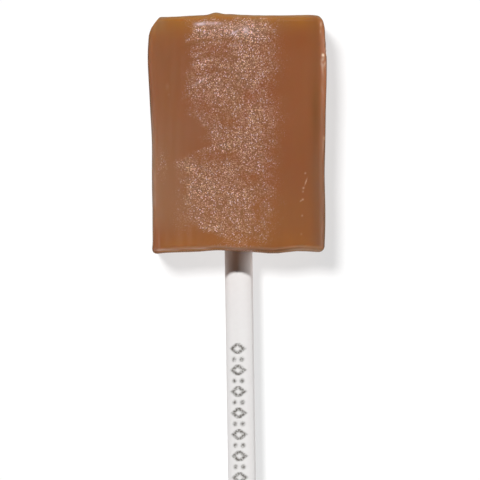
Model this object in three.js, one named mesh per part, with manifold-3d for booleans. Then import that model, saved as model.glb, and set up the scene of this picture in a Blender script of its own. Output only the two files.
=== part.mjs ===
// A caramel lollipop, lying on its back: a pressed block of caramel on a rolled paper stick.
// Millimetres, +Z up. The block's shown face looks up and the stick runs towards -Y.
import * as THREE from "three";
import { mergeVertices } from "three/addons/utils/BufferGeometryUtils.js";
import Module from "manifold-3d";

// Driving dimensions of the stick: a rolled paper stick, 11/64 inch thick and 4 inches long.
const STICK_DIAMETER = 4.37;
const STICK_LENGTH = 101.6;
const STICK_IN_BLOCK = 28; // how far the stick runs up into the caramel
const STICK_LEAN_DEG = 0.9; // the free end lies a little to the right
const STICK_OFFSET = 0.02; // of the stick's mouth, to the right of the block's middle
const STICK_END_BEVEL = 0.15;
const STICK_SIDES = 48;
const SOCKET_GAP = 0.25; // between the stick and the caramel that holds it

// Driving dimensions of the block, measured over its widest section at half depth.
const BLOCK_WIDTH = 26.65;
const BLOCK_HEIGHT = 36.3;
const BLOCK_DEPTH = 14.5;
const EDGE_RADIUS = 0.85; // of the rounding along every edge
const FACE_CROWN = 0.5; // how far the shown face's middle line stands above its left and right edges
const BELLY = 0.35; // how far the walls stand out at half depth, past the edges of the faces
const WALL_SHARE = 6; // power that keeps a wall's swells near that wall

// Swells of the four walls: each rises by so much, at a place along its wall, fading over its reach.
const LEFT_SWELLS = [
  { at: 11.2, reach: 7.3, rise: 0.62 }, // the upper left side bulges
  { at: -18.0, reach: 6.0, rise: -0.15 },
];
const RIGHT_SWELLS = [
  { at: 9.5, reach: 4.5, rise: -0.02 },
  { at: 2.5, reach: 3.0, rise: 0.05 },
  { at: -5.5, reach: 3.0, rise: -0.05 },
];
const TOP_SWELLS = [
  { at: -3.5, reach: 0.95, rise: 0.32 }, // a nub where the caramel was pinched off
  { at: -1.5, reach: 2.2, rise: 0.15 }, // and its shoulder
  { at: -11.0, reach: 4.0, rise: -0.18 },
];
const BOTTOM_SWELLS = [
  { at: -13.0, reach: 3.2, rise: 0.2 },
  { at: -3.2, reach: 2.4, rise: -0.25 },
  { at: 5.3, reach: 2.0, rise: 0.2 }, // a droop to the right of the stick
  { at: 9.3, reach: 1.8, rise: -0.14 },
];

// A chip in the right edge: the wall steps out by this much below a line this far above the middle.
const CHIP_STEP = 0.26;
const CHIP_AT = 12.0;
const CHIP_SOFTNESS = 0.3;
const CHIP_REACH = 10.0;

// Shallow ripples arched across the shown face, from its top down. They fade downwards and to both sides.
const RIPPLE_DEPTH = 0.05;
const RIPPLE_SPACING = 2.4;
const RIPPLE_TOP = 15.4; // the highest ripple's crest, above the block's middle
const RIPPLE_MIDDLE = -2.8; // of the arches, from the block's middle line
const RIPPLE_ARCH = 0.04; // how far a ripple drops for each square millimetre from the arches' middle
const RIPPLE_REACH = 11.0;
const RIPPLE_SPREAD = 5.0;

// The upper left corner is worn off along a line in plan: a point of the line, the way that the worn face
// looks, the share that is gone of what stood past the line, and how softly the wear sets in.
const CORNER_WEAR = { at: [-12.58, 16.91], facing: [-0.79, 0.61], share: 0.9, softness: 0.1 };

// The other corners are pulled in or out in plan, each fading over its reach.
const CORNER_SHIFTS = [
  { side: 1, end: 1, shift: [-0.42, -0.15], reach: 1.35 },
  { side: -1, end: -1, shift: [-0.1, -0.12], reach: 1.2 },
  { side: 1, end: -1, shift: [-0.06, -0.08], reach: 1.6 },
];

// Cells of the block's grid across, along and through it. The first and last ROUND_CELLS are in the rounding.
const CELLS = new THREE.Vector3(30, 48, 14);
const ROUND_CELLS = 3;
const ROUND_HALF_ANGLE = Math.PI / 4; // each of the two faces at an edge covers half of its quarter turn

const CARAMEL = { color: 0x9a5f36, roughness: 0.35, metalness: 0 };
const PAPER = { color: 0xefeae8, roughness: 0.8, metalness: 0 };

// Half sizes of the block's faces, before the walls swell and the shown face is crowned.
const half = new THREE.Vector3(
  BLOCK_WIDTH / 2 - BELLY,
  BLOCK_HEIGHT / 2 - BELLY,
  (BLOCK_DEPTH - FACE_CROWN) / 2,
);

const wasm = await Module();
wasm.setup();

// A closed geometry as a solid that can be joined and cut.
function solidOf(geometry) {
  const bare = geometry.clone().deleteAttribute("normal").deleteAttribute("uv");
  const merged = mergeVertices(bare);
  return new wasm.Manifold(
    new wasm.Mesh({
      numProp: 3,
      vertProperties: merged.attributes.position.array,
      triVerts: new Uint32Array(merged.index.array),
    }),
  );
}

function geometryOf(solid) {
  const mesh = solid.getMesh();
  const geometry = new THREE.BufferGeometry();
  geometry.setAttribute("position", new THREE.BufferAttribute(mesh.vertProperties, 3));
  geometry.setIndex(new THREE.BufferAttribute(mesh.triVerts, 1));
  geometry.computeVertexNormals();
  return geometry;
}

function fade(distance, reach) {
  return Math.exp(-((distance / reach) ** 2));
}

// The height of a wall's swells at a place along it.
function swell(swells, at) {
  return swells.reduce((sum, { at: middle, reach, rise }) => sum + rise * fade(at - middle, reach), 0);
}

// The right wall's step below the chip: it sets in sharply and fades away downwards.
function chip(at) {
  const below = CHIP_AT - at;
  return (CHIP_STEP * fade(Math.max(below, 0), CHIP_REACH)) / (1 + Math.exp(-below / CHIP_SOFTNESS));
}

// The depth of the shown face's ripples, which run along arches, at a place on it.
function ripple(x, y) {
  const aside = x - RIPPLE_MIDDLE;
  const below = RIPPLE_TOP - y - RIPPLE_ARCH * aside ** 2;
  const share = fade(Math.max(below, 0), RIPPLE_REACH) * fade(aside, RIPPLE_SPREAD);
  return RIPPLE_DEPTH * share * (0.5 - 0.5 * Math.cos((2 * Math.PI * below) / RIPPLE_SPACING));
}

// How far a place in plan stands past the worn corner's line. It is close to nought before the line.
function pastCorner(x, y) {
  const { at, facing, softness } = CORNER_WEAR;
  const past = (x - at[0]) * facing[0] + (y - at[1]) * facing[1];
  return softness * Math.log1p(Math.exp(past / softness));
}

// Where grid line number index lies along an axis: evenly over the flat, and by equal angles in the rounding.
function gridLine(index, cells, halfSize) {
  const flat = halfSize - EDGE_RADIUS;
  const fromEnd = Math.min(index, cells - index);
  if (fromEnd >= ROUND_CELLS) {
    return flat * ((2 * (index - ROUND_CELLS)) / (cells - 2 * ROUND_CELLS) - 1);
  }
  const angle = ROUND_HALF_ANGLE * (1 - fromEnd / ROUND_CELLS);
  return Math.sign(index - cells / 2) * (flat + EDGE_RADIUS * Math.tan(angle));
}

// Pulls a point of the sharp box onto the box with rounded edges.
function roundEdges(point) {
  const flat = half.clone().subScalar(EDGE_RADIUS);
  const inner = point.clone().clamp(flat.clone().negate(), flat);
  return point.sub(inner).setLength(EDGE_RADIUS).add(inner);
}

// Bends the clean block into the pressed one: bellied walls with their swells, worn corners, a crowned and
// rippled face.
function pressShape(point) {
  const across = point.x / half.x;
  const along = point.y / half.y;
  const through = point.z / half.z;
  const atSide = Math.abs(across) ** WALL_SHARE;
  const atEnd = Math.abs(along) ** WALL_SHARE;
  const belly = BELLY * (1 - through ** 2);
  const side = across < 0 ? swell(LEFT_SWELLS, point.y) : swell(RIGHT_SWELLS, point.y) + chip(point.y);
  const end = swell(along < 0 ? BOTTOM_SWELLS : TOP_SWELLS, point.x);
  const crown = FACE_CROWN * (1 - across ** 2);
  const moved = new THREE.Vector3(
    Math.sign(across) * atSide * (belly + side),
    Math.sign(along) * atEnd * (belly + end),
    (crown - ripple(point.x, point.y)) * Math.max(through, 0) ** 2,
  );
  for (const corner of CORNER_SHIFTS) {
    const distance = Math.hypot(point.x - corner.side * half.x, point.y - corner.end * half.y);
    const share = fade(distance, corner.reach);
    moved.x += share * corner.shift[0];
    moved.y += share * corner.shift[1];
  }
  point.add(moved);
  const worn = CORNER_WEAR.share * pastCorner(point.x, point.y);
  point.x -= worn * CORNER_WEAR.facing[0];
  point.y -= worn * CORNER_WEAR.facing[1];
  return point;
}

// The whole block: a box whose grid is drawn close along the edges, then rounded and pressed.
function blockGeometry() {
  const geometry = new THREE.BoxGeometry(CELLS.x, CELLS.y, CELLS.z, CELLS.x, CELLS.y, CELLS.z);
  const position = geometry.attributes.position;
  const point = new THREE.Vector3();
  for (let i = 0; i < position.count; i++) {
    point.fromBufferAttribute(position, i);
    for (const axis of ["x", "y", "z"]) {
      const index = Math.round(point[axis] + CELLS[axis] / 2);
      point.setComponent("xyz".indexOf(axis), gridLine(index, CELLS[axis], half[axis]));
    }
    position.setXYZ(i, ...pressShape(roundEdges(point)));
  }
  return geometry;
}

// A round bar along Y, from its free end to its end in the block, with its pivot where it enters the block.
function barGeometry(radius, free, inside, bevel) {
  const profile = [
    [0, -free],
    [radius - bevel, -free],
    [radius, -free + bevel],
    [radius, inside - bevel],
    [radius - bevel, inside],
    [0, inside],
  ];
  return new THREE.LatheGeometry(profile.map(([r, y]) => new THREE.Vector2(r, y)), STICK_SIDES);
}

// Where the stick enters the block, and how it leans.
const mouth = new THREE.Vector3(STICK_OFFSET, -BLOCK_HEIGHT / 2, -FACE_CROWN / 2);
const lean = THREE.MathUtils.degToRad(STICK_LEAN_DEG);
const stickPlace = new THREE.Matrix4().makeRotationZ(lean).setPosition(mouth);

function candy() {
  const socket = barGeometry(
    STICK_DIAMETER / 2 + SOCKET_GAP,
    STICK_DIAMETER,
    STICK_IN_BLOCK + SOCKET_GAP,
    STICK_END_BEVEL,
  ).applyMatrix4(stickPlace);
  const block = solidOf(blockGeometry()).subtract(solidOf(socket));
  const mesh = new THREE.Mesh(geometryOf(block), new THREE.MeshStandardMaterial(CARAMEL));
  mesh.name = "candy";
  return mesh;
}

function stick() {
  const bar = barGeometry(
    STICK_DIAMETER / 2,
    STICK_LENGTH - STICK_IN_BLOCK,
    STICK_IN_BLOCK,
    STICK_END_BEVEL,
  );
  const mesh = new THREE.Mesh(bar, new THREE.MeshStandardMaterial(PAPER));
  mesh.name = "stick";
  mesh.position.copy(mouth);
  mesh.rotation.z = lean;
  return mesh;
}

// The part's origin is at the middle of its box, on the surface that it lies on.
const lollipop = new THREE.Group();
lollipop.add(candy(), stick());
const box = new THREE.Box3().setFromObject(lollipop, true);
const middle = box.getCenter(new THREE.Vector3());
lollipop.position.set(-middle.x, -middle.y, -box.min.z);
const part = new THREE.Group();
part.add(lollipop);

export default part;
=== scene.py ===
"""A caramel lollipop lying on its back: a pressed block of caramel on a rolled paper stick.

Shapes are worked out in millimetres, in the block's own frame, and written to meshes in metres.
"""
import math

import bpy
import numpy as np
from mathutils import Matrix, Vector


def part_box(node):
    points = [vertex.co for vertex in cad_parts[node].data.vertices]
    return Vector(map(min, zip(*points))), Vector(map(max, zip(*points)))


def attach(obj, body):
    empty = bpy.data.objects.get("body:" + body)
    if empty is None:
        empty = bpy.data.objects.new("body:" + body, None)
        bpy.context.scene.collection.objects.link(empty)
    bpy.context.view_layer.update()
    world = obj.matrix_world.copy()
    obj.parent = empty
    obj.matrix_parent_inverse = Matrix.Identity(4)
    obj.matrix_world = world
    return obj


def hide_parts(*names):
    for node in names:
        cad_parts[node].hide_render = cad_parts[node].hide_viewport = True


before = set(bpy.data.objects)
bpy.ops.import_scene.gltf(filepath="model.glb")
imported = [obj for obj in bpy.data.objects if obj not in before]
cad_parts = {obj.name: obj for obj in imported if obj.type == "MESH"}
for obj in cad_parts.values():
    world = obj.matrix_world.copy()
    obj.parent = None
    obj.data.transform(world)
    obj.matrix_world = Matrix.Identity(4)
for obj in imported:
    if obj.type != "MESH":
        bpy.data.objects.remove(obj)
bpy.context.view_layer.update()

MM = 0.001

# The block, measured as the solid is: over its widest section at half depth.
BLOCK_WIDTH = 26.65
BLOCK_HEIGHT = 36.3
BLOCK_DEPTH = 14.5
EDGE_RADIUS = 0.85
FACE_CROWN = 0.5
BELLY = 0.35
WALL_SHARE = 6

# Swells of the four walls: the place along the wall, how far the swell reaches, how far it rises.
LEFT_SWELLS = ((11.2, 7.3, 0.62), (-18.0, 6.0, -0.15))
RIGHT_SWELLS = (
    (13.5, 0.9, 0.13), (12.7, 0.3, 0.1), (9.5, 4.5, -0.02), (2.5, 3.0, 0.05), (-5.5, 3.0, -0.05),
)
TOP_SWELLS = ((-3.5, 0.95, 0.32), (-1.5, 2.2, 0.15), (-11.0, 4.0, -0.18))
BOTTOM_SWELLS = ((-13.0, 3.2, 0.2), (-3.2, 2.4, -0.25), (5.3, 2.0, 0.2), (9.3, 1.8, -0.14))

# The chip in the right edge: the wall steps out below this height.
CHIP_STEP = 0.26
CHIP_AT = 12.25
CHIP_SOFTNESS = 0.2
CHIP_REACH = 10.0

# Shallow ripples arched across the shown face.
RIPPLE_DEPTH = 0.05
RIPPLE_SPACING = 2.4
RIPPLE_TOP = 15.4
RIPPLE_MIDDLE = -2.8
RIPPLE_ARCH = 0.04
RIPPLE_REACH = 11.0
RIPPLE_SPREAD = 5.0

# Their valleys lie bare as narrow furrows in the grain, up to this place across.
FURROW_NARROWING = 4
FURROW_REACH = 7.0
FURROW_RIGHT = 0.5
FURROW_BARENESS = 0.75

# The upper left corner is worn off along a line in plan.
WEAR_AT = np.array([-12.58, 16.91])
WEAR_FACING = np.array([-0.79, 0.61])
WEAR_SHARE = 0.9
WEAR_SOFTNESS = 0.1

# The other corners are pulled in plan: side, end, shift across, shift along, reach.
CORNER_SHIFTS = (
    (1, 1, -0.42, -0.15, 1.35),
    (-1, -1, -0.18, -0.22, 0.9),
    (1, -1, -0.06, -0.08, 1.6),
)

# The grain on the shown face: a strip down its middle with uneven sides.
GRAIN_LEFT = -7.4
GRAIN_LEFT_SWELLS = (
    (15.0, 1.5, 0.5), (11.3, 1.6, 0.35), (6.5, 1.5, -0.4), (0.2, 1.9, 2.9), (-1.9, 1.0, 2.2),
    (-4.7, 1.2, -1.8), (-8.0, 2.6, -1.0), (-17.0, 1.9, 7.0),
)
GRAIN_RIGHT = 5.1
GRAIN_RIGHT_SWELLS = (
    (15.2, 1.8, -0.6), (11.5, 3.5, 0.4), (7.2, 1.3, -0.9), (1.9, 2.0, 0.5), (-7.0, 4.0, -0.5),
    (-15.0, 3.0, -1.0),
)
GRAIN_TOP = 16.95
GRAIN_TOP_SWELLS = ((2.5, 4.0, 0.8),)
GRAIN_BOTTOM = -15.9
GRAIN_SOFTNESS = 0.3
GRAIN_FACING = 0.8

# How dense the strip is: all over, more in a band near the top, and at least and at most.
GRAIN_DENSITY = 0.66
GRAIN_BAND = 15.3
GRAIN_BAND_REACH = 1.6
GRAIN_BAND_RISE = 0.6
GRAIN_LIMITS = (0.15, 1.5)

# Random waves, each with its rise, spacing and seed. They stir the strip's edge and density, and the relief.
GRAIN_WANDER = ((0.25, 2.2, 11), (0.15, 0.8, 13))
GRAIN_CLOUDS = ((0.07, 2.6, 12), (0.08, 1.1, 14))
GRAIN_RELIEF = ((0.012, 0.55, 3),)
BROAD_RELIEF = ((0.03, 9.0, 1),)
DRAG_RELIEF = ((0.006, 1.1, 2),)
DRAG_SQUEEZE = (1.0, 0.12, 1.0)

# Spots on the face, each with its place across and along, slope, reach across, reach along and rise.
# The strip is denser or barer at some spots, and thin patches of grain lie beside and below it.
GRAIN_SPOTS = (
    (2.6, 15.2, 0.0, 2.2, 1.2, 0.25),
    (-5.2, 15.6, 0.0, 1.3, 0.8, 0.3),
    (-2.2, 13.1, 0.0, 1.8, 0.7, -0.4),
    (-6.6, 12.6, 0.0, 1.6, 0.6, -0.25),
    (1.2, 10.7, 0.0, 1.7, 4.3, 0.4),
    (-4.2, 11.2, 0.0, 1.0, 0.5, 0.3),
    (-5.4, 10.2, 0.0, 1.0, 0.35, 0.4),
    (-5.8, 7.7, 0.53, 1.3, 0.35, 0.8),
    (-3.2, 6.3, 0.0, 1.6, 1.8, 0.35),
    (1.8, 5.4, 0.0, 1.6, 1.1, -0.45),
    (-6.0, 3.6, 0.0, 2.2, 2.0, -0.35),
    (3.0, 3.1, 0.0, 1.6, 1.4, 0.25),
    (-1.6, 1.9, 0.0, 1.8, 1.2, -0.45),
    (1.5, -1.8, 0.0, 1.4, 2.2, 0.35),
    (-2.2, -2.0, 0.0, 1.0, 0.5, 0.6),
    (-4.4, -3.7, 0.0, 4.4, 0.9, -0.5),
    (-7.4, -5.3, 0.0, 1.2, 0.7, 0.45),
    (-1.6, -6.3, 0.0, 1.2, 0.6, 0.4),
    (1.9, -7.0, 0.0, 1.8, 1.1, -0.55),
    (-4.6, -8.3, 0.0, 1.7, 1.4, 0.5),
    (0.0, -9.7, 0.0, 1.2, 0.9, 0.35),
    (3.0, -11.9, 0.0, 1.0, 2.0, -0.5),
    (-3.0, -14.3, 0.0, 1.5, 0.8, 0.5),
)
GRAIN_PATCHES = (
    (-11.6, -4.8, 0.0, 0.7, 1.9, 0.3),
    (-8.4, -12.4, 0.0, 1.3, 2.4, 0.22),
    (-0.6, -16.7, 0.0, 2.6, 0.9, 0.28),
)

# Flecks of loose sugar: a trail down the right of the face, and a few at its left and at the right rim.
FLECKS = (
    (10.15, -6.15, 0.0, 0.11, 0.11, 0.7),
    (10.25, -7.45, 2.5, 0.16, 0.2, 0.9),
    (9.87, -8.4, 0.0, 0.13, 0.13, 0.75),
    (9.8, -8.95, 0.0, 0.1, 0.13, 0.5),
    (9.77, -10.15, 0.0, 0.12, 0.12, 0.75),
    (9.48, -10.35, 0.6, 0.14, 0.1, 0.6),
    (9.67, -12.6, 0.0, 0.11, 0.13, 0.5),
    (9.55, -15.4, 0.0, 0.12, 0.15, 0.2),
    (-10.8, 7.0, 0.0, 0.25, 0.5, 0.12),
    (-10.6, 5.8, 0.0, 0.2, 0.2, 0.08),
    (12.5, 16.5, 0.0, 0.13, 0.35, 0.45),
    (12.45, 15.4, 0.0, 0.1, 0.3, 0.25),
    (13.1, -0.8, 0.0, 0.16, 0.3, 0.5),
)
FLECKS_ABOVE = 5.4

# Painted highlights at the chip, standing for its glints: a bright one, a streak below it, and more out on
# the wall.
CHIP_GLINTS = (
    (12.88, 11.8, 0.0, 0.15, 0.2, 1.1),
    (12.88, 10.8, 0.0, 0.3, 0.75, 0.38),
    (13.55, 12.5, 0.0, 0.22, 0.4, 2.0),
)
CHIP_GLINT_COVER = 0.75
CHIP_GLINT_WAVES = ((0.4, 0.7, 21),)
CHIP_GLINTS_ABOVE = 3.0

# Painted highlights on the ripples, drawn as smears of pale colour.
RIPPLE_HIGHLIGHTS = (
    (-5.8, 16.5, 0.0, 0.7, 0.2, 0.8),
    (-4.0, 16.6, 0.0, 1.2, 0.24, 0.4),
    (-0.6, 15.2, 0.55, 0.6, 0.16, 0.55),
    (1.1, 15.5, 0.0, 0.4, 0.5, 0.45),
    (-0.6, 13.2, 0.0, 0.4, 0.25, 0.15),
    (-5.8, 7.8, 0.53, 1.0, 0.2, 0.14),
    (-0.2, 15.9, 0.0, 4.5, 0.9, 0.06),
)

# Low ridges along the rims: each rises this many millimetres, and is painted pale along its run as a
# highlight, wholly pale at the height given next.
RIDGES = (
    (13.25, 12.4, 0.0, 0.2, 0.25, 0.1),
    (13.0, 14.3, 0.0, 0.12, 1.6, 0.022),
    (12.68, 9.4, 0.0, 0.15, 2.4, 0.042),
    (12.65, 4.6, 0.0, 0.14, 3.0, 0.006),
    (12.85, -2.2, 0.0, 0.12, 1.2, 0.028),
    (13.05, -8.5, 0.0, 0.14, 3.0, 0.03),
    (12.7, -16.2, 0.0, 0.14, 1.9, 0.03),
    (-12.1, -16.3, 0.0, 0.12, 1.5, 0.014),
    (-12.65, -8.5, 0.0, 0.16, 3.0, 0.014),
    (-10.8, -17.85, 0.0, 2.0, 0.18, 0.045),
    (-5.9, -17.7, 0.0, 2.3, 0.14, 0.045),
)
RIDGE_FULL_HIGHLIGHT = 0.1
RIDGES_ABOVE = 4.5

# Random waves shift the ridges and make their heights uneven along their runs.
RIDGE_SHIFT = ((0.05, 3.0, 4),)
RIDGE_COVER = 0.75
RIDGE_WAVES = ((0.45, 1.3, 5),)
RIDGE_STRETCH = (0.4, 0.4, 1.0)
RIDGE_MOST = 1.6

# The golden glow painted at the block's thin ends, standing for light that passes through them: how far it
# reaches down from the top and up from the bottom.
TOP_GLOW_REACH = 2.6
TOP_GLOW_LEFT = 0.6
BOTTOM_GLOW_REACH = 2.8

# Cells of the block's grid over its flats and in half of each edge's quarter turn.
FLAT_CELLS = (200, 288, 8)
ROUND_CELLS = 6

# The back's fine rings run this many edge radii inwards, and coarser ones follow at these scales.
BACK_TURN = 1.2
BACK_SCALES = (0.84, 0.72, 0.5)

# How many plane waves make up a random height.
WAVES = 24

# The stick, with the solid's length, stretch in the block and lean, and the bore's gap round it.
STICK_LENGTH = 101.6
STICK_IN_BLOCK = 28.0
STICK_LEAN_DEG = 0.9
STICK_OFFSET = 0.02
STICK_BEVEL = 0.15
BORE_GAP = 0.02

# Its rolled paper: where the last lap ends, how far it steps, and the grooves between layers at the end.
LAP_DEG = 62
LAP_STEP = 0.06
PAPER_LAYER = 0.28
GROOVE_DEPTH = 0.06

# Its mesh: points round it, rows close enough for the print, fewer in the plain stretch, rings of its end.
STICK_SIDES = 96
STICK_ROW = 0.15
PLAIN_ROWS = 40
CAP_RINGS = 40
CAP_CORE = 0.03

# The row of ornaments printed on the stick, measured round it and down from the block.
PRINT_START = 14.0
PRINT_MARGIN = 0.4
PRINT_PITCH = 1.65
PRINT_COUNT = 29
PRINT_ASIDE = -0.4
LOZENGE_WIDE = 0.95
LOZENGE_TALL = 0.75
DOT_ASIDE = 0.62
DOT_RADIUS = 0.32
INK_STROKE = 0.3
INK_SPREAD = 0.07

half = np.array([
    BLOCK_WIDTH / 2 - BELLY,
    BLOCK_HEIGHT / 2 - BELLY,
    (BLOCK_DEPTH - FACE_CROWN) / 2,
])
mouth = np.array([STICK_OFFSET, -BLOCK_HEIGHT / 2, -FACE_CROWN / 2])
lean = math.radians(STICK_LEAN_DEG)
stick_low, stick_high = (np.array(corner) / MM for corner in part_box("stick"))
stick_radius = (stick_high[2] - stick_low[2]) / 2


def fade(distance, reach):
    """A bell, one at no distance: the exponential of minus the square of distance over reach."""
    return np.exp(-((distance / reach) ** 2))


def step(value, softness):
    """A soft step from nought to one where value passes nought: the logistic curve."""
    return 1 / (1 + np.exp(-np.clip(value / softness, -60, 60)))


def swell(swells, at):
    """The sum of bells along a wall."""
    return sum(rise * fade(at - middle, reach) for middle, reach, rise in swells)


def chip(at):
    """The right wall's step: it sets in below CHIP_AT and fades away downwards."""
    below = CHIP_AT - at
    return CHIP_STEP * fade(np.maximum(below, 0), CHIP_REACH) * step(below, CHIP_SOFTNESS)


def spots(table, x, y):
    """The sum of bells on the face, each drawn out along a line of its own slope."""
    return sum(
        rise * fade(x - at_x, reach_x) * fade(y - at_y - slope * (x - at_x), reach_y)
        for at_x, at_y, slope, reach_x, reach_y, rise in table
    )


def arches(x, y):
    """Distance below the ripples' topmost arch, and a raised cosine of it that is one in the valleys."""
    below = RIPPLE_TOP - y - RIPPLE_ARCH * (x - RIPPLE_MIDDLE) ** 2
    return below, 0.5 - 0.5 * np.cos(2 * np.pi * below / RIPPLE_SPACING)


def ripple(x, y):
    """Depth of the face's ripples: the arches' valleys, fading downwards and to both sides."""
    below, valley = arches(x, y)
    share = fade(np.maximum(below, 0), RIPPLE_REACH) * fade(x - RIPPLE_MIDDLE, RIPPLE_SPREAD)
    return RIPPLE_DEPTH * share * valley


def furrow(x, y):
    """How bare of grain a place is: the arches' valleys, narrowed by a power, fading down and rightwards."""
    below, valley = arches(x, y)
    share = step(below, 0.3) * fade(np.maximum(below, 0), FURROW_REACH) * step(FURROW_RIGHT - x, 1)
    return valley**FURROW_NARROWING * share


def waves(points, spacing, seed):
    """Smooth random heights about nought: the sum of plane waves of this spacing in random directions."""
    draw = np.random.default_rng(seed)
    ways = draw.normal(size=(WAVES, 3))
    ways *= 2 * np.pi / (spacing * np.linalg.norm(ways, axis=1, keepdims=True))
    return math.sqrt(2 / WAVES) * np.cos(points @ ways.T + draw.uniform(0, 2 * np.pi, WAVES)).sum(axis=1)


def layered_waves(points, layers):
    """Smooth random heights of several spacings laid over each other."""
    return sum(rise * waves(points, spacing, seed) for rise, spacing, seed in layers)


def axis_lines(half_size, flat_cells):
    """Grid lines along an axis: even over the flat, by equal angles in the rounding at both ends."""
    flat = half_size - EDGE_RADIUS
    angles = np.linspace(0, np.pi / 4, ROUND_CELLS + 1)[1:]
    rounding = flat + EDGE_RADIUS * np.tan(angles)
    return np.concatenate([-rounding[::-1], np.linspace(-flat, flat, flat_cells + 1), rounding])


def round_edges(points):
    """Points of the sharp box pulled onto the rounded one, with the direction that each faces."""
    flat = half - EDGE_RADIUS
    inner = np.clip(points, -flat, flat)
    outward = points - inner
    outward /= np.linalg.norm(outward, axis=1, keepdims=True)
    return inner + EDGE_RADIUS * outward, outward


def press_shape(points):
    """The rounded block pressed: bellied walls with swells, worn corners, a crowned and rippled face."""
    x, y, z = points.T
    across, along, through = (points / half).T
    at_side = np.abs(across) ** WALL_SHARE
    at_end = np.abs(along) ** WALL_SHARE
    belly = BELLY * (1 - through**2)
    side = np.where(across < 0, swell(LEFT_SWELLS, y), swell(RIGHT_SWELLS, y) + chip(y))
    end = np.where(along < 0, swell(BOTTOM_SWELLS, x), swell(TOP_SWELLS, x))
    crown = FACE_CROWN * (1 - across**2)
    moved = np.stack([
        np.sign(across) * at_side * (belly + side),
        np.sign(along) * at_end * (belly + end),
        (crown - ripple(x, y)) * np.maximum(through, 0) ** 2,
    ], axis=1)
    for corner_side, corner_end, shift_x, shift_y, reach in CORNER_SHIFTS:
        share = fade(np.hypot(x - corner_side * half[0], y - corner_end * half[1]), reach)
        moved[:, 0] += share * shift_x
        moved[:, 1] += share * shift_y
    pressed = points + moved
    past = (pressed[:, :2] - WEAR_AT) @ WEAR_FACING
    worn = WEAR_SHARE * WEAR_SOFTNESS * np.logaddexp(0, past / WEAR_SOFTNESS)
    pressed[:, :2] -= worn[:, None] * WEAR_FACING
    return pressed


def grain_share(points, outward):
    """How grainy the surface is: the face's strip with uneven sides, clouded, and barer in its furrows."""
    x, y, _ = points.T
    wander = layered_waves(points, GRAIN_WANDER)
    left = x - GRAIN_LEFT - swell(GRAIN_LEFT_SWELLS, y)
    right = GRAIN_RIGHT + swell(GRAIN_RIGHT_SWELLS, y) - x
    top = GRAIN_TOP + swell(GRAIN_TOP_SWELLS, x) - y
    bottom = y - GRAIN_BOTTOM
    share = step(left + wander, GRAIN_SOFTNESS) * step(right + wander, 2 * GRAIN_SOFTNESS)
    share *= step(top + wander, GRAIN_SOFTNESS) * step(bottom + wander, 2 * GRAIN_SOFTNESS)
    density = GRAIN_DENSITY + layered_waves(points, GRAIN_CLOUDS) + spots(GRAIN_SPOTS, x, y)
    density += GRAIN_BAND_RISE * fade(y - GRAIN_BAND, GRAIN_BAND_REACH)
    share *= np.clip(density, *GRAIN_LIMITS) * (1 - FURROW_BARENESS * furrow(x, y))
    share += spots(GRAIN_PATCHES, x, y)
    return share * step(outward[:, 2] - GRAIN_FACING, 0.05)


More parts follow.
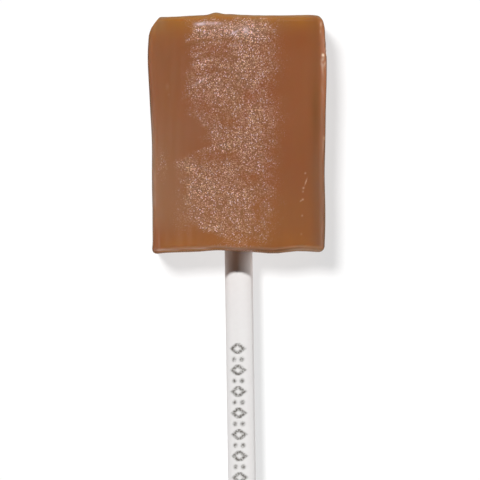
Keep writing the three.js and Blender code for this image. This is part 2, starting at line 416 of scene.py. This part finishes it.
def caramel_tint_and_painted_light(points, outward):
    """Colour of the caramel, with light and shade painted into it: the body's colour, with blushes and
    painted light mixed in one after another.

    Each blush has a colour and a share, a strength times soft steps and bells. Their places are millimetres
    from the block's middle, or shares of how far the surface faces up or along the block.
    """
    x, y, z = points.T
    along, up = outward[:, 1], outward[:, 2]
    from_top, from_bottom = half[1] + BELLY - y, half[1] + BELLY + y
    upper = step(z - 1, 1)
    mostly_upper = 0.3 + 0.7 * upper
    painted_top_glow = fade(from_top, TOP_GLOW_REACH + TOP_GLOW_LEFT * step(-5 - x, 1))
    painted_bottom_glow = fade(from_bottom, BOTTOM_GLOW_REACH) * step(10.9 - x, 0.5) * step(x + 11.9, 0.3)
    bottom_right = step(x - 7.2, 0.5)
    lip = step(-2.5 - x, 0.5) * step(z - 4.6, 0.4)
    blushes_and_painted_light = (
        # The left side is paler, most in its lower half.
        ("#9E6F50", step(-8 - x, 1.3) * (0.22 + 0.78 * step(-y, 2.2)) * step(y + 14.7, 0.8)),
        # Painted shade: a dark stripe runs inside the right rim where the face turns away, and the rim's
        # lower half is painted greyer, as shade with a grey sheen.
        ("#7E4F2E", fade(x - 11.7, 0.7) * (0.5 + 0.45 * fade(y - 3.4, 4))),
        ("#8A624A", 0.9 * step(x - 11.3, 0.4) * step(-3 - y, 2) * mostly_upper),
        # The left wall is painted grey from its middle down, as a reflection.
        ("#B8B2A6", 0.2 * step(0.75 - up, 0.1) * upper * step(-12 - x, 0.2) * step(2 - y, 2)
         * step(y + 11.2, 0.3)),
        # The lower right of the face is lighter.
        ("#9B623C", step(x - 5, 1) * step(-10 - y, 1) * step(11.5 - x, 0.5)),
        # Painted glow: the thin top end is golden, as where light passes through it. The lower part of the
        # strip has a touch of the same golden colour.
        ("#AE712A", painted_top_glow * (0.3 + 0.7 * step(11.3 - x, 0.5)) * mostly_upper),
        ("#AA7442", 0.3 * fade(y + 13, 4.5) * step(x + 9.2, 0.6) * step(6 - x, 1)),
        # The bare bay in the strip's left side is a little greyer.
        ("#B09C8C", 0.09 * fade(x + 6.3, 2.6) * fade(y - 0.6, 2.5)),
        # Below the golden end the caramel is redder, most at the right.
        ("#96502B", fade(from_top - 4.2, 2.4) * (0.15 + 0.45 * step(x, 3)) * step(11.5 - x, 0.4)),
        # The worn corner is pale.
        ("#A87E56", step(-11.3 - x, 0.3) * fade(from_top, TOP_GLOW_REACH) * upper),
        # The top wall is olive grey, and paler right of the nub.
        ("#8C7C62", 0.4 * step(along - 0.6, 0.1) * upper),
        ("#A8947E", 0.25 * step(along - 0.8, 0.08) * step(x + 2, 1) * upper),
        # Painted glow: the thin bottom end is golden between its corners, as where light passes through it.
        ("#A76830", painted_bottom_glow * (0.6 + 0.4 * step(-x, 3)) * mostly_upper),
        # The bottom wall has a painted highlight at its right, and painted shade along the rest but for its
        # lip at the left.
        ("#BC8452", 0.6 * step(-0.35 - along, 0.1) * bottom_right * upper),
        ("#D0AC94", 0.7 * step(-0.88 - along, 0.06) * bottom_right * step(z - 3, 0.6)),
        ("#5A4A46", 0.36 * step(-0.75 - along, 0.08) * step(7 - x, 0.5) * upper * (1 - lip)),
        # The right wall has painted shade about its middle, and a painted sheen from there up.
        ("#6E4630", 0.3 * step(x - 12.2, 0.2) * fade(y - 1.5, 2.5) * upper),
        ("#AE907A", 0.1 * step(x - 12.3, 0.2) * step(y + 3, 2) * upper),
        # Furrows are dark and flecks are pale. Ridges carry painted highlights, and so does the chip's edge.
        ("#7E5833", 0.4 * furrow(x, y) * step(up - 0.5, 0.1) * step(x + 8, 0.5)),
        ("#D6B2A0", np.clip(ridges(points, outward) / RIDGE_FULL_HIGHLIGHT, 0, 1)),
        ("#F0C9A8", np.clip(spots(FLECKS, x, y), 0, 1) * step(z - FLECKS_ABOVE, 0.3)),
        ("#FFF0DE", chip_glint_share(points)),
    )
    colour = np.tile(linear("#965939")[:3], (len(points), 1))
    for code, share in blushes_and_painted_light:
        colour += share[:, None] * (np.array(linear(code)[:3]) - colour)
    return colour


def ripple_highlight_share(points, outward):
    """How far the ripples' painted highlights cover the surface: their bells, on the face alone."""
    x, y, _ = points.T
    return np.clip(spots(RIPPLE_HIGHLIGHTS, x, y), 0, 1) * step(outward[:, 2] - 0.5, 0.1)


def chip_glint_share(points):
    """How far the chip's painted highlights cover it: their bells, roughened by random waves, on the upper
    wall.
    """
    x, y, z = points.T
    rough = CHIP_GLINT_COVER + layered_waves(points, CHIP_GLINT_WAVES)
    return np.clip(spots(CHIP_GLINTS, x, y) * rough, 0, 1) * step(z - CHIP_GLINTS_ABOVE, 0.8)


def ridges(points, outward):
    """Height of the rims' ridges: bells with wavering places, and of uneven height along their runs."""
    x, y, z = points.T
    shift = layered_waves(points, RIDGE_SHIFT)
    uneven = np.clip(RIDGE_COVER + layered_waves(points * RIDGE_STRETCH, RIDGE_WAVES), 0, RIDGE_MOST)
    height = spots(RIDGES, x + shift, y + shift) * uneven
    return height * step(outward[:, 2], 0.1) * step(z - RIDGES_ABOVE, 0.4)


def relief(points, outward, grain):
    """Height of the fine relief: broad unevenness, drag lines down the walls, ridges and the grain."""
    off_back = step(outward[:, 2] + 0.5, 0.08)
    uneven = layered_waves(points, BROAD_RELIEF) + layered_waves(points * DRAG_SQUEEZE, DRAG_RELIEF)
    return off_back * uneven + ridges(points, outward) + grain * layered_waves(points, GRAIN_RELIEF)


def quads(rows, columns):
    """The quads of a grid of points kept row by row."""
    corner = (np.arange(rows - 1)[:, None] * columns + np.arange(columns - 1)).ravel()
    return np.stack([corner, corner + 1, corner + columns + 1, corner + columns], axis=1)


def face_grid(lines, axis, side):
    """The sharp box's face on one side of an axis, as a grid of the lines of its two other axes."""
    u, v = ((axis + 1) % 3, (axis + 2) % 3)[::side]
    points = np.empty((len(lines[u]) * len(lines[v]), 3))
    points[:, u] = np.tile(lines[u], len(lines[v]))
    points[:, v] = np.repeat(lines[v], len(lines[u]))
    points[:, axis] = side * half[axis]
    return points, quads(len(lines[v]), len(lines[u]))


def border(lines, u, v):
    """The border of a face, once round from u towards v, starting at its lowest corner."""
    count_u, count_v = len(lines[u]) - 1, len(lines[v]) - 1
    loop = np.zeros((2 * (count_u + count_v), 3))
    loop[:, u] = np.concatenate([
        lines[u][:-1], np.full(count_v, lines[u][-1]), lines[u][:0:-1], np.full(count_v, lines[u][0]),
    ])
    loop[:, v] = np.concatenate([
        np.full(count_u, lines[v][0]), lines[v][:-1], np.full(count_u, lines[v][-1]), lines[v][:0:-1],
    ])
    return loop


def ring_quads(rings, count):
    """The quads between closed rings of as many points each, from the first, inmost ring outwards."""
    ring = np.arange(rings - 1)[:, None] * count
    here, following = np.arange(count), (np.arange(count) + 1) % count
    corners = (ring + here, ring + count + here, ring + count + following, ring + following)
    return np.stack([c.ravel() for c in corners], axis=1)


def bottom_wall(lines, bore_radius):
    """The bottom wall round the stick's bore: rings between the bore's rim and the wall's border."""
    loop = border(lines, 0, 2)
    from_axis = loop - [mouth[0], 0, mouth[2]]
    rim = loop - from_axis + bore_radius * from_axis / np.linalg.norm(from_axis, axis=1, keepdims=True)
    # The rings lie close at the rim and in the rounded edge, and wide apart between them.
    shares = np.concatenate([
        np.linspace(0, 0.1, 4)[:-1],
        np.linspace(0.1, 0.76, 6)[:-1],
        np.linspace(0.76, 1, 8),
    ])
    points = (rim + shares[:, None, None] * (loop - rim)).reshape(-1, 3)
    points[:, 1] = -half[1]
    return points, ring_quads(len(shares), len(loop)), len(loop)


def back_wall(lines):
    """The back: rings shrinking inwards from its border, each later one with half as many points."""
    loop = border(lines, 1, 0)
    scales = np.linspace(1, 1 - BACK_TURN * EDGE_RADIUS / half[0], ROUND_CELLS + 1)
    rings = [scale * loop for scale in scales[::-1]]
    points = [np.concatenate(rings)]
    faces = [ring_quads(len(rings), len(loop))]
    start, count, total = 0, len(loop), len(points[0])
    triangles = []
    for scale in BACK_SCALES:
        fewer = count // 2
        here = np.arange(fewer)
        after = (here + 1) % fewer
        outer, middle, outer_after = start + 2 * here, start + 2 * here + 1, start + 2 * after
        inner, inner_after = total + here, total + after
        triangles.append(np.stack([outer, middle, inner], axis=1))
        triangles.append(np.stack([middle, inner_after, inner], axis=1))
        triangles.append(np.stack([middle, outer_after, inner_after], axis=1))
        loop = loop[::2]
        points.append(scale * loop)
        start, count, total = total, fewer, total + fewer
    points.append(np.zeros((1, 3)))
    here = np.arange(count)
    triangles.append(np.stack([start + here, start + (here + 1) % count, np.full(count, total)], axis=1))
    points = np.concatenate(points)
    points[:, 2] = -half[2]
    return points, np.concatenate(faces), np.concatenate(triangles)


def on_stick(radius, angle, along):
    """Points round the stick's axis: angle from the top to the right, along from the mouth inwards."""
    local = np.stack([radius * np.sin(angle), along, radius * np.cos(angle)], axis=-1).reshape(-1, 3)
    turn = np.array([
        [math.cos(lean), -math.sin(lean), 0],
        [math.sin(lean), math.cos(lean), 0],
        [0, 0, 1],
    ])
    return local @ turn.T + mouth


def weld(points, faces):
    """Merges points that fall together, and gives each group of faces its new numbers."""
    _, first, group = np.unique(np.round(points, 5), axis=0, return_index=True, return_inverse=True)
    group = group.ravel()
    return points[first], [group[f] for f in faces], first


def make_piece(name, points, faces, material, attributes):
    """A mesh piece in metres, from points in millimetres, groups of faces and values for each point."""
    mesh = bpy.data.meshes.new(name)
    corners = np.concatenate([f.ravel() for f in faces])
    sizes = np.concatenate([np.full(len(f), f.shape[1]) for f in faces])
    mesh.vertices.add(len(points))
    mesh.vertices.foreach_set("co", (MM * points).astype(np.float32).ravel())
    mesh.loops.add(len(corners))
    mesh.loops.foreach_set("vertex_index", corners.astype(np.int32))
    mesh.polygons.add(len(sizes))
    mesh.polygons.foreach_set("loop_start", np.concatenate([[0], np.cumsum(sizes)[:-1]]).astype(np.int32))
    mesh.polygons.foreach_set("use_smooth", np.ones(len(sizes), bool))
    mesh.update(calc_edges=True)
    for attribute, values in attributes.items():
        kind, field = ("FLOAT", "value") if values.ndim == 1 else ("FLOAT_VECTOR", "vector")
        data = mesh.attributes.new(attribute, kind, "POINT").data
        data.foreach_set(field, values.astype(np.float32).ravel())
    mesh.validate()
    mesh.materials.append(material)
    piece = bpy.data.objects.new(name, mesh)
    bpy.context.scene.collection.objects.link(piece)
    return piece


def candy_piece(material):
    """The caramel block: a fine grid for each wall, rounded, pressed and given its relief, with a bore."""
    lines = [axis_lines(h, cells) for h, cells in zip(half, FLAT_CELLS)]
    radius = stick_radius + BORE_GAP
    front, front_quads = face_grid(lines, 2, 1)
    walls = [face_grid(lines, axis, side) for axis, side in ((0, 1), (0, -1), (1, 1))]
    bottom, bottom_quads, rim_count = bottom_wall(lines, radius)
    back, back_quads, back_triangles = back_wall(lines)
    patches = [front, *(points for points, _ in walls), bottom, back]
    starts = np.cumsum([0] + [len(p) for p in patches])
    bottom_start, back_start = starts[4:6]
    groups = [front_quads, *(faces for _, faces in walls), bottom_quads, back_quads]
    faces = [group + start for group, start in zip(groups, starts)]
    faces.append(back_triangles + back_start)
    box_points = np.concatenate(patches)
    rounded, outward = round_edges(box_points)
    pressed = press_shape(rounded)
    grain = grain_share(pressed, outward)
    points = pressed + relief(pressed, outward, grain)[:, None] * outward

    rim = bottom_start + np.arange(rim_count)
    rim_angle = np.arctan2(points[rim, 0] - mouth[0], points[rim, 2] - mouth[2])
    depths = np.array([1.0, STICK_IN_BLOCK / 2, STICK_IN_BLOCK + BORE_GAP])
    rows = np.ones((3, rim_count))
    bore = on_stick(radius * rows, rim_angle * rows, depths[:, None] * rows)
    end = on_stick(np.zeros(1), np.zeros(1), depths[-1:])
    total = len(points)
    around = np.concatenate([rim, total + np.arange(3 * rim_count)]).reshape(4, rim_count)
    after = np.roll(around, -1, axis=1)
    for row in range(3):
        faces.append(np.stack([around[row], after[row], after[row + 1], around[row + 1]], axis=1))
    middle = np.full(rim_count, total + 3 * rim_count)
    faces.append(np.stack([around[3], after[3], middle], axis=1))
    points = np.concatenate([points, bore, end])
    inside = np.zeros(len(bore) + 1)
    grain = np.concatenate([grain, inside])
    tint_and_painted_light = caramel_tint_and_painted_light(pressed, outward)
    tint_and_painted_light = np.concatenate([tint_and_painted_light, np.tile(tint_and_painted_light[0], (len(inside), 1))])
    ripple_highlight = np.concatenate([ripple_highlight_share(pressed, outward), inside])
    points, faces, first = weld(points, faces)
    attributes = {"grain": grain[first], "tint_and_painted_light": tint_and_painted_light[first], "ripple_highlight": ripple_highlight[first]}
    return make_piece("caramel_block", points + block_shift, faces, material, attributes)


def print_row(aside, down):
    """How far ink covers the paper: hollow lozenges and pairs of dots by turns, soft at their edges."""
    number = np.floor((down - PRINT_START) / PRINT_PITCH)
    tall = np.abs(down - PRINT_START - (number + 0.5) * PRINT_PITCH)
    wide = np.abs(aside - PRINT_ASIDE)
    lozenge = np.abs(tall + wide * LOZENGE_TALL / LOZENGE_WIDE - LOZENGE_TALL) - INK_STROKE
    dots = np.hypot(wide - DOT_ASIDE, tall) - DOT_RADIUS
    cover = step(-np.where(number % 2 == 0, lozenge, dots), INK_SPREAD)
    return cover * (number >= 0) * (number < PRINT_COUNT)


def stick_piece(material):
    """The rolled paper stick: a turn of profile with a lap step, carried from its grooved end inwards."""
    turn = np.linspace(0, 1, STICK_SIDES + 1)
    angle = math.radians(LAP_DEG) + 2 * np.pi * turn
    outline = stick_radius - LAP_STEP * (1 - turn)
    free = STICK_IN_BLOCK - STICK_LENGTH
    cap = np.linspace(CAP_CORE, 1 - STICK_BEVEL / stick_radius, CAP_RINGS)
    body = np.concatenate([
        np.arange(free + STICK_BEVEL, PRINT_MARGIN - PRINT_START, STICK_ROW),
        np.linspace(PRINT_MARGIN - PRINT_START, STICK_IN_BLOCK - STICK_BEVEL, PLAIN_ROWS),
    ])
    share = np.concatenate([cap, np.ones(len(body)), [cap[-1], cap[0]]])
    along = np.concatenate([np.full(len(cap), free), body, [STICK_IN_BLOCK] * 2])
    radius = share[:, None] * outline
    groove = 0.5 - 0.5 * np.cos(2 * np.pi * (radius / PAPER_LAYER - turn))
    depth = np.where(np.arange(len(share)) < len(cap) - 1, GROOVE_DEPTH, 0)[:, None] * groove
    places = along[:, None] + depth
    points = on_stick(radius, np.broadcast_to(angle, radius.shape), places)
    centres = on_stick(np.zeros(2), np.zeros(2), np.array([free, STICK_IN_BLOCK]))
    rows, columns = radius.shape
    index = np.arange(rows * columns).reshape(rows, columns)
    after = np.roll(index, -1, axis=1)
    body_quads = np.stack([index[:-1], after[:-1], after[1:], index[1:]], axis=-1).reshape(-1, 4)
    first = np.stack([after[0], index[0], np.full(columns, index.size)], axis=1)
    last = np.stack([index[-1], after[-1], np.full(columns, index.size + 1)], axis=1)
    ink = print_row(stick_radius * (angle - 2 * np.pi), -places).ravel()
    points = np.concatenate([points, centres]) + block_shift
    attributes = {"ink": np.concatenate([ink, [0, 0]])}
    return make_piece("paper_stick", points, [body_quads, first, last], material, attributes)


def linear(code):
    """An sRGB hex colour as linear red, green, blue and alpha."""
    srgb = np.array([int(code[i:i + 2], 16) for i in (1, 3, 5)]) / 255
    low, high = srgb / 12.92, ((srgb + 0.055) / 1.055) ** 2.4
    return (*np.where(srgb <= 0.04045, low, high), 1.0)


def add(tree, kind, inputs=None, **settings):
    """Adds a node: sets its properties, and gives each named input a value or a link."""
    made = tree.nodes.new(kind)
    for name, value in settings.items():
        setattr(made, name, value)
    for name, value in (inputs or {}).items():
        if isinstance(value, bpy.types.NodeSocket):
            tree.links.new(value, made.inputs[name])
        else:
            made.inputs[name].default_value = value
    return made


def new_material(name):
    """An empty material with its node tree."""
    material = bpy.data.materials.new(name)
    material.use_nodes = True
    material.node_tree.nodes.clear()
    return material, material.node_tree


def caramel():
    """Hard cooked caramel, pressed in a mould: satin, a little translucent, redder and more olive by turns.

    Drag down the mould gives upright bands. The strip of grain sparkles with sugar crystals, and its sheen
    and glints are painted into the colour, as are highlights on the ripples.
    """
    material, tree = new_material("caramel")
    place = add(tree, "ShaderNodeTexCoord").outputs["Object"]
    grain = add(tree, "ShaderNodeAttribute", attribute_name="grain").outputs["Fac"]
    # The tint attribute carries the caramel's colour together with the light and shade painted into it.
    tint_and_painted_light = add(tree, "ShaderNodeAttribute", attribute_name="tint_and_painted_light").outputs["Vector"]
    ripple_highlight = add(tree, "ShaderNodeAttribute", attribute_name="ripple_highlight").outputs["Fac"]

    # Upright clouds, a little more olive than the rest.
    upright = add(tree, "ShaderNodeMapping", {"Vector": place, "Scale": (1.0, 0.2, 1.0)})
    tone = add(tree, "ShaderNodeTexNoise", {
        "Vector": upright.outputs[0], "Scale": 1 / (2.5 * MM), "Detail": 3.0,
    })
    cloud = add(tree, "ShaderNodeMapRange", {
        "Value": tone.outputs["Fac"], "From Min": 0.35, "From Max": 0.65, "To Max": 0.4,
    })
    body = add(tree, "ShaderNodeMix", {
        "Factor": cloud.outputs[0], 6: tint_and_painted_light, 7: linear("#93603A"),
    }, data_type="RGBA")

    # A painted grey sheen over the grain, and sugar crystals in it: pale dots of all shades painted as the
    # grain's glints, a few of them white. Real crystals are finer. They are drawn as coarse as they need to
    # show.
    painted_sheen = add(tree, "ShaderNodeMath", {0: grain, 1: 0.34}, operation="MULTIPLY")
    sheened = add(tree, "ShaderNodeMix", {
        "Factor": painted_sheen.outputs[0], 6: body.outputs[2], 7: linear("#77695C"),
    }, data_type="RGBA")
    sugar = add(tree, "ShaderNodeTexVoronoi", {"Vector": place, "Scale": 1 / (0.172 * MM)})
    draw = add(tree, "ShaderNodeSeparateColor", {0: sugar.outputs["Color"]})
    crystal = add(tree, "ShaderNodeMapRange", {
        "Value": sugar.outputs["Distance"], "From Min": 0.3, "From Max": 0.66, "To Min": 1.0, "To Max": 0.0,
    })
    cover = add(tree, "ShaderNodeMath", {0: crystal.outputs[0], 1: grain}, operation="MULTIPLY")
    pale = add(tree, "ShaderNodeMath", {0: draw.outputs[0], 1: 1.3}, operation="POWER")
    glint_speck = add(tree, "ShaderNodeMath", {0: pale.outputs[0], 1: cover.outputs[0]}, operation="MULTIPLY")
    glint_speck_colour = add(tree, "ShaderNodeMix", {
        "Factor": draw.outputs[2], 6: linear("#FFCE9E"), 7: linear("#FFC0AE"),
    }, data_type="RGBA")
    glint_specked = add(tree, "ShaderNodeMix", {
        "Factor": glint_speck.outputs[0], 6: sheened.outputs[2], 7: glint_speck_colour.outputs[2],
    }, data_type="RGBA")
    rare = add(tree, "ShaderNodeMapRange", {"Value": draw.outputs[1], "From Min": 0.9, "From Max": 0.92})
    glint = add(tree, "ShaderNodeMath", {0: rare.outputs[0], 1: cover.outputs[0]}, operation="MULTIPLY")
    glinting = add(tree, "ShaderNodeMix", {
        "Factor": glint.outputs[0], 6: glint_specked.outputs[2], 7: linear("#FFE2E4"),
    }, data_type="RGBA")

    # Painted highlights on the ripples lie over all of it.
    ripple_highlighted = add(tree, "ShaderNodeMix", {
        "Factor": ripple_highlight, 6: glinting.outputs[2], 7: linear("#FFE6EC"),
    }, data_type="RGBA")

    # Drag lines and crystals stand up a little, and the gloss changes with the clouds.
    lines = add(tree, "ShaderNodeMapping", {"Vector": place, "Scale": (1.0, 0.06, 1.0)})
    drag = add(tree, "ShaderNodeTexNoise", {
        "Vector": lines.outputs[0], "Scale": 1 / (1.1 * MM), "Detail": 3.0,
    })
    dragged = add(tree, "ShaderNodeBump", {
        "Height": drag.outputs["Fac"], "Distance": 0.018 * MM, "Strength": 1.0,
    })
    bump = add(tree, "ShaderNodeBump", {
        "Height": cover.outputs[0], "Distance": 0.02 * MM, "Strength": 1.0, "Normal": dragged.outputs[0],
    })
    roughness = add(tree, "ShaderNodeMapRange", {
        "Value": tone.outputs["Fac"], "To Min": 0.19, "To Max": 0.27,
    })
    shader = add(tree, "ShaderNodeBsdfPrincipled", {
        "Base Color": ripple_highlighted.outputs[2], "Roughness": roughness.outputs[0], "Normal": bump.outputs[0],
        "IOR": 1.5, "Subsurface Weight": 0.3, "Subsurface Radius": (1.0, 0.4, 0.15),
        "Subsurface Scale": 1.2 * MM,
    })
    add(tree, "ShaderNodeOutputMaterial", {"Surface": shader.outputs[0]})
    return material


def rolled_paper():
    """White rolled paper: matt, faintly mottled by its fibres, with a row of ornaments in worn grey ink.

    The fibres themselves are too fine to show, so the mottling is drawn coarser.
    """
    material, tree = new_material("rolled_paper")
    place = add(tree, "ShaderNodeTexCoord").outputs["Object"]
    printed = add(tree, "ShaderNodeAttribute", attribute_name="ink").outputs["Fac"]
    fibre = add(tree, "ShaderNodeTexNoise", {"Vector": place, "Scale": 1 / (0.6 * MM), "Detail": 3.0})
    paper = add(tree, "ShaderNodeMix", {
        "Factor": fibre.outputs["Fac"], 6: linear("#F2EFEE"), 7: linear("#F7F5F4"),
    }, data_type="RGBA")
    wear = add(tree, "ShaderNodeTexNoise", {"Vector": place, "Scale": 1 / (0.28 * MM), "Detail": 2.0})
    kept = add(tree, "ShaderNodeMapRange", {
        "Value": wear.outputs["Fac"], "From Min": 0.3, "From Max": 0.6, "To Min": 0.35, "To Max": 1.0,
    })
    ink = add(tree, "ShaderNodeMath", {0: printed, 1: kept.outputs[0]}, operation="MULTIPLY")
    colour = add(tree, "ShaderNodeMix", {
        "Factor": ink.outputs[0], 6: paper.outputs[2], 7: linear("#625E56"),
    }, data_type="RGBA")
    bump = add(tree, "ShaderNodeBump", {
        "Height": fibre.outputs["Fac"], "Distance": 0.01 * MM, "Strength": 0.5,
    })
    shader = add(tree, "ShaderNodeBsdfPrincipled", {
        "Base Color": colour.outputs[2], "Roughness": 0.75, "Normal": bump.outputs[0],
    })
    add(tree, "ShaderNodeOutputMaterial", {"Surface": shader.outputs[0]})
    return material


def lit_table():
    """A white table lit from below: an even glow, and a pale matt skin that takes soft shadows."""
    material, tree = new_material("lit_table")
    skin = add(tree, "ShaderNodeBsdfDiffuse", {"Color": (0.3, 0.3, 0.3, 1)})
    glow = add(tree, "ShaderNodeEmission", {"Color": (1, 1, 1, 1), "Strength": 0.675})
    both = add(tree, "ShaderNodeAddShader", {0: skin.outputs[0], 1: glow.outputs[0]})
    add(tree, "ShaderNodeOutputMaterial", {"Surface": both.outputs[0]})
    return material


def light(name, kind, receivers, towards, **settings):
    """A light that shines along the direction towards, onto the receivers alone."""
    data = bpy.data.lights.new(name, kind)
    made = bpy.data.objects.new(name, data)
    bpy.context.scene.collection.objects.link(made)
    made.rotation_mode = "QUATERNION"
    made.rotation_quaternion = Vector(towards).to_track_quat("-Z", "Y")
    made.visible_camera = False
    made.light_linking.receiver_collection = receivers
    for key, value in settings.items():
        setattr(made if key in ("location", "visible_glossy", "visible_diffuse") else data, key, value)


def collection(name, *objects):
    """A collection of objects, for a light to shine on."""
    made = bpy.data.collections.new(name)
    for o in objects:
        made.objects.link(o)
    return made


stick_middle = on_stick(np.zeros(1), np.zeros(1), np.array([STICK_IN_BLOCK - STICK_LENGTH / 2]))[0]
block_shift = (stick_low + stick_high) / 2 - stick_middle

candy = candy_piece(caramel())
stick = stick_piece(rolled_paper())
for piece, node, slot in ((candy, "candy", "caramel"), (stick, "stick", "paper")):
    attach(piece, "root")
    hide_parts(node)

bpy.ops.mesh.primitive_plane_add(size=8)
floor = bpy.context.object
floor.name = "floor"
floor.data.materials.append(lit_table())
floor.visible_glossy = False

# The camera looks straight down. This many millimetres show across, at half the block's depth.
VIEW_WIDTH = 73.92
VIEW_CENTRE = np.array([0.231, -16.3])
LENS = 250
SENSOR = 36
camera = bpy.data.objects.new("camera", bpy.data.cameras.new("camera"))
bpy.context.scene.collection.objects.link(camera)
camera.data.lens = LENS
camera.data.sensor_width = SENSOR
distance = VIEW_WIDTH * LENS / SENSOR
camera.location = MM * Vector((*(VIEW_CENTRE + block_shift[:2]), BLOCK_DEPTH / 2 + distance))
camera.data.clip_start = 10 * MM
camera.data.clip_end = 20
bpy.context.scene.camera = camera

on_object = collection("lit_object", candy, stick)
on_candy = collection("lit_candy", candy)
on_stick_only = collection("lit_stick", stick)
on_floor = collection("lit_floor", floor)
SUN = {"angle": math.radians(3.5), "visible_glossy": False}
RIM = {"angle": math.radians(20), "visible_glossy": False}
CARD = {"shape": "RECTANGLE"}
light("key", "SUN", on_candy, (0, -0.66, -1), energy=3.1, **SUN)
light("stick_key", "SUN", on_stick_only, (0.2, -0.7, -1), energy=3.4, **SUN)
light("stick_side", "SUN", on_stick_only, (-1, 0, -0.18), energy=0.75, **RIM)
light("right_rim", "SUN", on_candy, (-1, 0, -0.14), energy=0.4, **RIM)
light("left_rim", "SUN", on_candy, (1, 0, -0.14), energy=0.7, **RIM)
light("bottom_rim", "SUN", on_candy, (0, 1, -0.14), energy=0.7, **RIM)
light("floor_key", "SUN", on_floor, (0.21, -0.262, -1), energy=3.75, angle=math.radians(9.5))

# Large cards show in the face, small ones stand close to the rims, and the left wall mirrors a stretch of
# pale table.
light("softbox", "AREA", on_object, (0, -0.326, -0.946), energy=0.25, size=0.32, size_y=0.13,
      location=(-0.011, 0.296, 0.756), visible_diffuse=False, **CARD)
light("left_card", "AREA", on_candy, (0.3, 0.19, -0.93), energy=0.15, size=0.24, size_y=0.25,
      location=(-0.172, -0.07, 0.47), visible_diffuse=False, **CARD)
light("right_card", "AREA", on_candy, (-1, 0, -0.2), energy=0.0012, size=0.012, size_y=0.012,
      location=(0.027, 0.0475, 0.016), visible_glossy=False, **CARD)
light("bottom_card", "AREA", on_candy, (0, 1, -0.2), energy=0.0003, size=0.014, size_y=0.01,
      location=(-0.006, 0.0085, 0.012), **CARD)
light("left_table", "AREA", on_candy, (0, 0, 1), energy=0.0003, size=0.02, size_y=0.02,
      location=(-0.026, 0.030, 0.0005), visible_diffuse=False, **CARD)

# In reflections the world is dim overhead, bright at the horizon, most at the bottom, and a warm grey
# below it. Behind the object it is plain white.
world = bpy.data.worlds.new("studio")
bpy.context.scene.world = world
world.use_nodes = True
tree = world.node_tree
tree.nodes.clear()
path = add(tree, "ShaderNodeLightPath")
way = add(tree, "ShaderNodeSeparateXYZ", {0: add(tree, "ShaderNodeTexCoord").outputs["Generated"]})
to_right = add(tree, "ShaderNodeMath", {0: way.outputs["X"], 1: 0.17, 2: 0.4}, operation="MULTIPLY_ADD")
side = add(tree, "ShaderNodeMath", {
    0: way.outputs["Y"], 1: -0.6, 2: to_right.outputs[0],
}, operation="MULTIPLY_ADD", use_clamp=True)
fall = add(tree, "ShaderNodeMapRange", {
    "Value": way.outputs["Z"], "From Min": 0.6, "From Max": 0.9, "To Min": 1.3, "To Max": 0.02,
})
sky = add(tree, "ShaderNodeMath", {0: fall.outputs[0], 1: side.outputs[0]}, operation="MULTIPLY")
table = add(tree, "ShaderNodeMapRange", {"Value": side.outputs[0], "To Min": 0.06, "To Max": 0.33})
above = add(tree, "ShaderNodeMapRange", {"Value": way.outputs["Z"], "From Min": -0.05, "From Max": 0.05})
horizon = add(tree, "ShaderNodeMix", {
    "Factor": above.outputs[0], "A": table.outputs[0], "B": sky.outputs[0],
}, data_type="FLOAT")
around = add(tree, "ShaderNodeMix", {
    "Factor": path.outputs["Is Glossy Ray"], "A": 0.01, "B": horizon.outputs[0],
}, data_type="FLOAT")
strength = add(tree, "ShaderNodeMix", {
    "Factor": path.outputs["Is Camera Ray"], "A": around.outputs[0], "B": 1.0,
}, data_type="FLOAT")
shade = add(tree, "ShaderNodeMix", {
    "Factor": above.outputs[0], 6: linear("#FFDCBA"), 7: linear("#FFFFFF"),
}, data_type="RGBA")
hue = add(tree, "ShaderNodeMix", {
    "Factor": path.outputs["Is Camera Ray"], 6: shade.outputs[2], 7: linear("#FFFFFF"),
}, data_type="RGBA")
background = add(tree, "ShaderNodeBackground", {"Color": hue.outputs[2], "Strength": strength.outputs[0]})
add(tree, "ShaderNodeOutputWorld", {"Surface": background.outputs[0]})

bpy.context.scene.view_settings.view_transform = "Standard"
